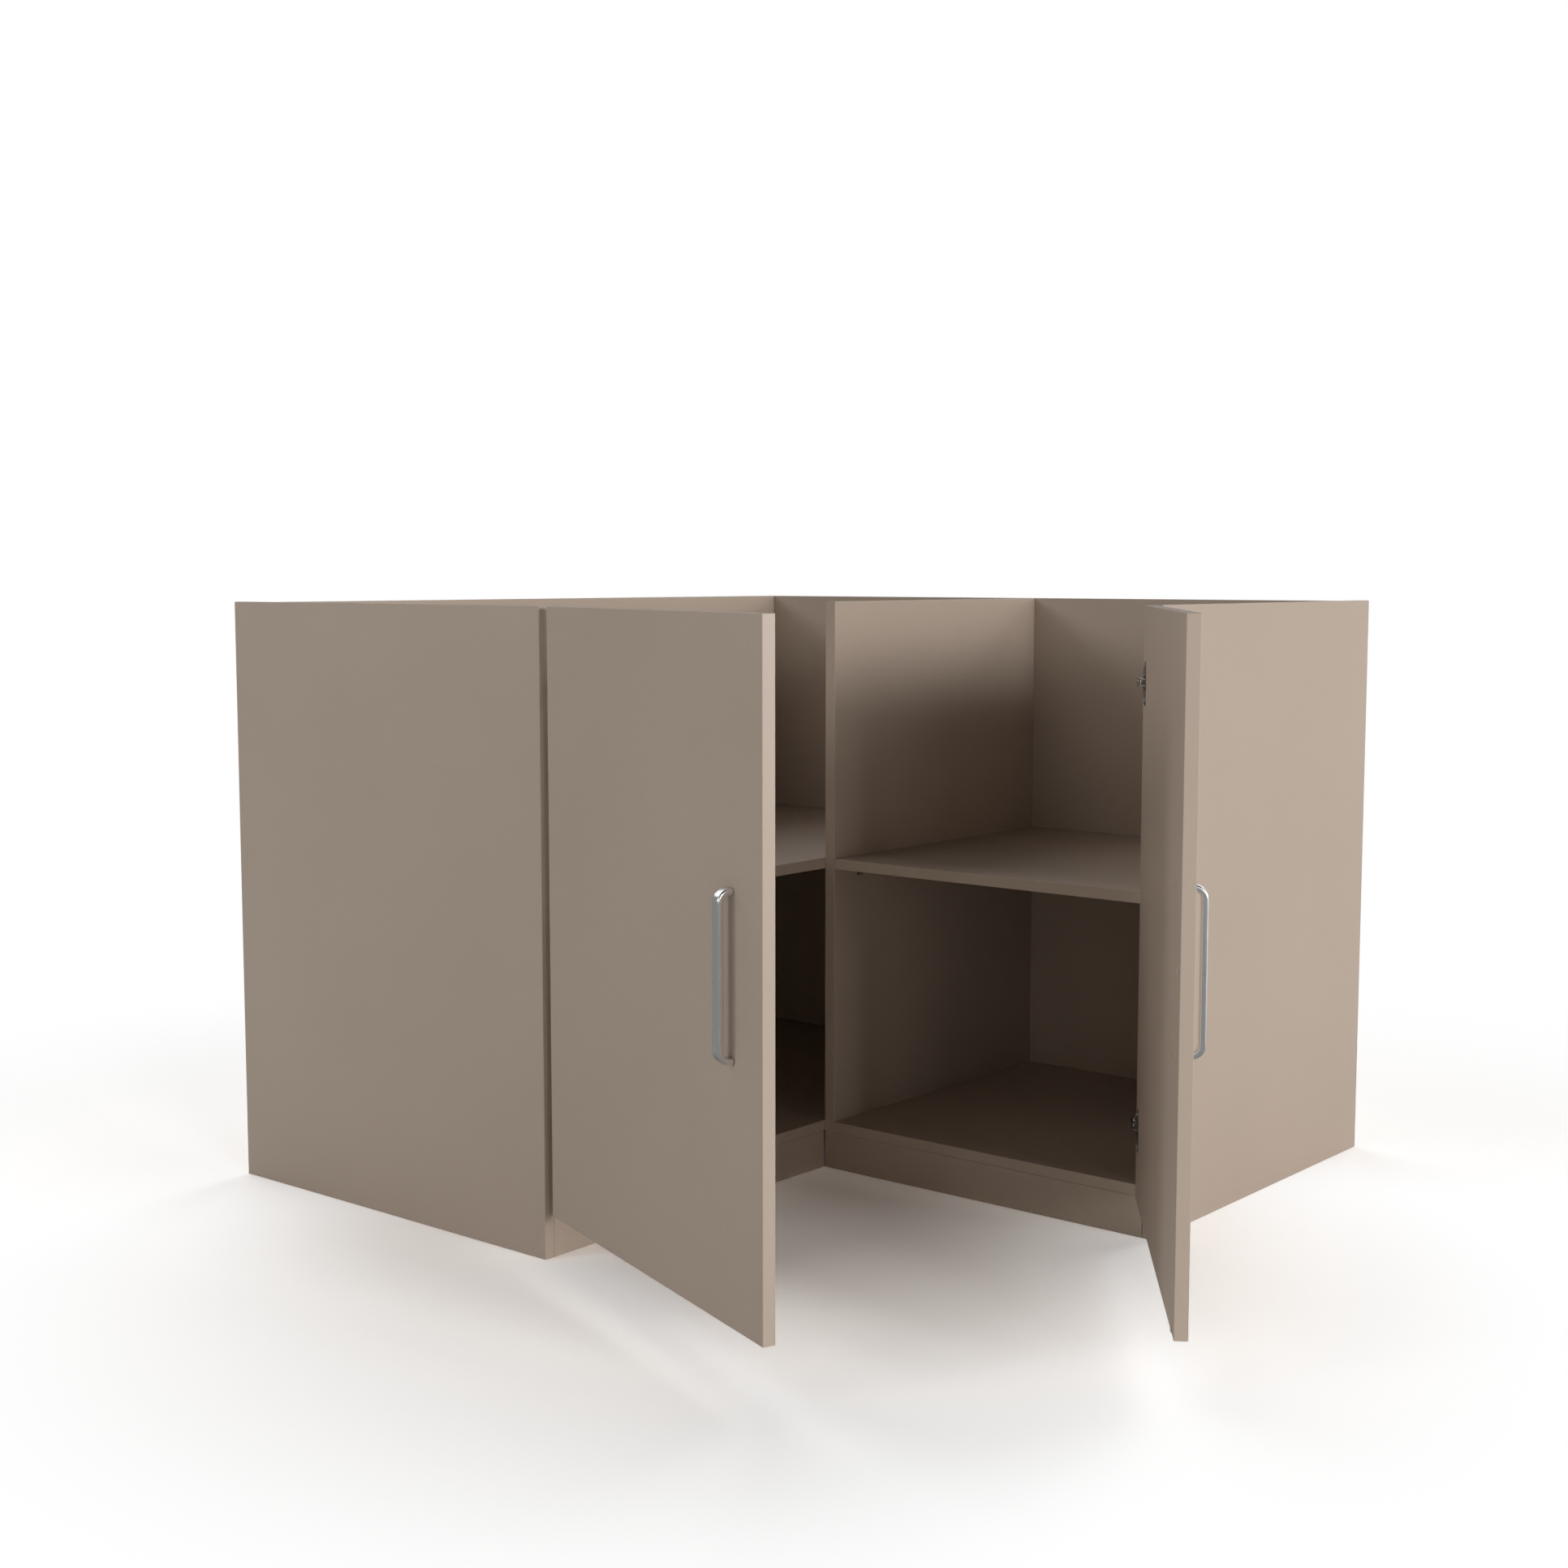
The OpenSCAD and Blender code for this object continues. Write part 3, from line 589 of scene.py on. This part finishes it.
def dome_profile(steps=6):
    """(radius, height) from the rim on the door to near the crown."""
    profile = [(bumper_radius, 0.0), (bumper_radius, bumper_high * rim_share)]
    for step in range(1, steps):
        turn = math.radians(90 * step / steps)
        profile.append((bumper_radius * math.cos(turn),
                        bumper_high * (rim_share + (1 - rim_share) * math.sin(turn))))
    return profile


def turn_bumpers(side, steps=32):
    """Both bumpers of a door, as one piece."""
    along = door_directions(side)[0]
    low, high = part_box(side + "_bumpers")
    from_edge = door_width(side) - bumper_inset
    mesh = bmesh.new()
    for height in (low.z + bumper_radius, high.z - bumper_radius):
        rings = []
        for radius, rise in dome_profile():
            middle = door_point(side, from_edge, -door_thick - rise, height)
            turns = [2 * math.pi * k / steps for k in range(steps)]
            rings.append([mesh.verts.new(middle + along * radius * math.cos(turn)
                                         + Vector((0, 0, radius * math.sin(turn)))) for turn in turns])
        crown = mesh.verts.new(door_point(side, from_edge, -door_thick - bumper_high, height))
        join_rings(mesh, rings)
        for k in range(steps):
            mesh.faces.new((rings[-1][k - 1], rings[-1][k], crown))
        mesh.faces.new(rings[0])
    piece = new_piece(side + "_soft_bumpers", mesh, bumper_finish)
    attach(piece, side + "_door")
    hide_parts(side + "_bumpers")
    print(piece.name, len(piece.data.vertices), "points")


for side in ("left", "right"):
    turn_bumpers(side)

# %% [markdown]
# ## What each kind of ray meets
# A floor lit until it is white would throw too much light into the dark boxes, and a white studio would
# leave the steel without any shading. So the floor and the world answer each kind of ray with a level
# of its own. The camera meets white. A reflection meets a grey studio that is brighter on one side, as
# if there were a window. The rays that carry light to the cabinet meet matt white paper and a world
# that is almost dark.

# %% Make the helpers for the studio
mirror_wall = 0.24
window_way = Vector((1, -1, 0)).normalized()
window_from = 0.45
window_to = 0.9
window_gain = 3.0


def by_ray(tree, camera, mirrored, others):
    """One level for the camera, one for reflections and one for all the other rays."""
    rays = node(tree, "ShaderNodeLightPath").outputs
    level = spread(tree, rays["Is Glossy Ray"], others, mirrored, start=0.0, end=1.0)
    return spread(tree, rays["Is Camera Ray"], level, camera, start=0.0, end=1.0)


def faded(tree, value, start, end, low=0.0, high=1.0):
    """A smooth step from one value to another."""
    step = node(tree, "ShaderNodeMapRange", Value=value, From_Min=start, From_Max=end,
                To_Min=low, To_Max=high)
    step.interpolation_type = "SMOOTHSTEP"
    return step.outputs["Result"]


def mirrored_wall(tree, direction):
    """How bright the studio is that way in a reflection."""
    toward = vector_worked(tree, "DOT_PRODUCT", direction, window_way)
    return faded(tree, toward, window_from, window_to, mirror_wall, mirror_wall * window_gain)


print("in reflections the studio is", mirror_wall, "and", round(mirror_wall * window_gain, 2), "on one side")

# %% [markdown]
# ## The floor
# The cabinet stands on an endless white floor. Near it the floor is a matt surface that takes the
# shadows. Further out it turns, for the camera and for reflections, into plain white or grey, so that
# no horizon shows. For the camera the matt part is raised to the same white. That is how a picture cut
# out on white looks: the shadows stay, the grey goes.

# %% Lay the floor
floor_middle = Vector((-0.9, -0.9, 0.0))
floor_half = 14.0
floor_white = 1.3
floor_seen = 1.95
floor_mirrored = 0.5
white_from, white_to = 1.0, 2.2  # the fade to white on every side, by the distance from the middle
near_middle = Vector((-1.05, -0.85, 0.0))
near_from, near_to = 0.4, 1.05  # an earlier fade in front of the cabinet
front_way = (-1, -1, 0)
front_from, front_to = 1.0, 1.6  # where the front begins, by how far a place lies that way


def floor_paper():
    """The floor's material: matt near the cabinet, plain white or grey further out."""
    material = bpy.data.materials.new("floor_white")
    material.use_nodes = True
    tree = material.node_tree
    tree.nodes.clear()
    level = by_ray(tree, camera=floor_seen, mirrored=floor_mirrored, others=floor_white)
    matt = node(tree, "ShaderNodeBsdfDiffuse", Color=level).outputs[0]
    place = node(tree, "ShaderNodeTexCoord").outputs["Object"]
    wall = mirrored_wall(tree, vector_worked(tree, "NORMALIZE", place))
    bright = by_ray(tree, camera=1.0, mirrored=wall, others=0.0)
    glow = node(tree, "ShaderNodeEmission", Color=(1, 1, 1, 1), Strength=bright).outputs[0]
    far = faded(tree, vector_worked(tree, "DISTANCE", place, floor_middle), white_from, white_to)
    near = faded(tree, vector_worked(tree, "DISTANCE", place, near_middle), near_from, near_to)
    front = faded(tree, vector_worked(tree, "DOT_PRODUCT", place, front_way), front_from, front_to)
    plain = worked(tree, "MAXIMUM", far, worked(tree, "MULTIPLY", near, front))
    share = by_ray(tree, camera=plain, mirrored=plain, others=0.0)
    mix = tree.nodes.new("ShaderNodeMixShader")
    for socket, value in zip(mix.inputs, (share, matt, glow)):
        put(tree, socket, value)
    output = tree.nodes.new("ShaderNodeOutputMaterial")
    tree.links.new(mix.outputs[0], output.inputs["Surface"])
    return material


mesh = bmesh.new()
mesh.faces.new([mesh.verts.new(floor_middle + Vector((sx * floor_half, sy * floor_half, 0)))
                for sx, sy in ((-1, -1), (1, -1), (1, 1), (-1, 1))])
floor = new_object("floor", mesh, floor_paper())
print("floor reaches", floor_half, "m each way")

# %% [markdown]
# ## The light
# The picture has no single key. Soft light comes in low from several sides: most of it from in front of
# the right end panel, the rest from the left and from behind. Low light leaves the inside of the boxes
# dark and puts a bright band along the upper edge of the divider and the backs. Distant lamps are the
# plainest way to set such light, because each one is only a direction, a softness and a strength.

# %% Set the light
lamp_level = 1.05
lamps = [
    # name, degrees from -Y towards +X, height in degrees, softness in degrees, strength
    ("front", 0, 11, 16, 0.300),
    ("front_low", 20, 5, 18, 0.215),
    ("front_left", 340, 13, 16, 0.148),
    ("front_left_low", 320, 5, 18, 0.020),
    ("left_front", 300, 16, 24, 0.025),
    ("left", 264, 16, 20, 0.055),
    ("left_turned", 242, 16, 14, 0.135),
    ("left_high", 240, 43, 36, 0.055),
    ("behind", 180, 29, 24, 0.055),
    ("behind_high", 180, 43, 36, 0.040),
    ("behind_right", 150, 43, 36, 0.165),
    ("right_behind", 100, 29, 24, 0.165),
    ("right", 80, 29, 24, 0.100),
]


def add_lamp(name, turn, height, softness, strength):
    """A distant lamp. At level 1, strength 1 lights a white face turned to it to white."""
    turn, height = math.radians(turn), math.radians(height)
    direction = Vector((math.sin(turn) * math.cos(height), -math.cos(turn) * math.cos(height),
                        math.sin(height)))
    data = bpy.data.lights.new(name, "SUN")
    data.angle = math.radians(softness)
    data.energy = math.pi * lamp_level * strength
    lamp = bpy.data.objects.new(name, data)
    bpy.context.scene.collection.objects.link(lamp)
    lamp.rotation_euler = (-direction).to_track_quat("-Z", "Y").to_euler()


for lamp in lamps:
    add_lamp(*lamp)
print("lamps:", len(lamps))

# %% [markdown]
# ## The world
# The world is the white that the camera meets behind the cabinet. In reflections it is the grey studio
# wall, which darkens upward into a ceiling: that shades the bends of the handles. It adds only a trace
# of light of its own, because the lamps light the cabinet.

# %% Set the world
world_light = 0.01
wall_top = math.radians(8)
ceiling_from = math.radians(45)
ceiling_share = 0.1


def set_world():
    """White for the camera, a wall and a ceiling for reflections, a trace of light for the rest."""
    world = bpy.data.worlds.new("studio")
    world.use_nodes = True
    tree = world.node_tree
    tree.nodes.clear()
    direction = node(tree, "ShaderNodeTexCoord").outputs["Generated"]
    height = node(tree, "ShaderNodeSeparateXYZ", Vector=direction).outputs["Z"]
    darker = faded(tree, height, math.sin(wall_top), math.sin(ceiling_from), 1.0, ceiling_share)
    wall = worked(tree, "MULTIPLY", darker, mirrored_wall(tree, direction))
    level = by_ray(tree, camera=1.0, mirrored=wall, others=world_light)
    glow = node(tree, "ShaderNodeBackground", Color=(1, 1, 1, 1), Strength=level)
    output = tree.nodes.new("ShaderNodeOutputWorld")
    tree.links.new(glow.outputs[0], output.inputs["Surface"])
    bpy.context.scene.world = world


set_world()
print("world is white for the camera and", world_light, "for the cabinet")
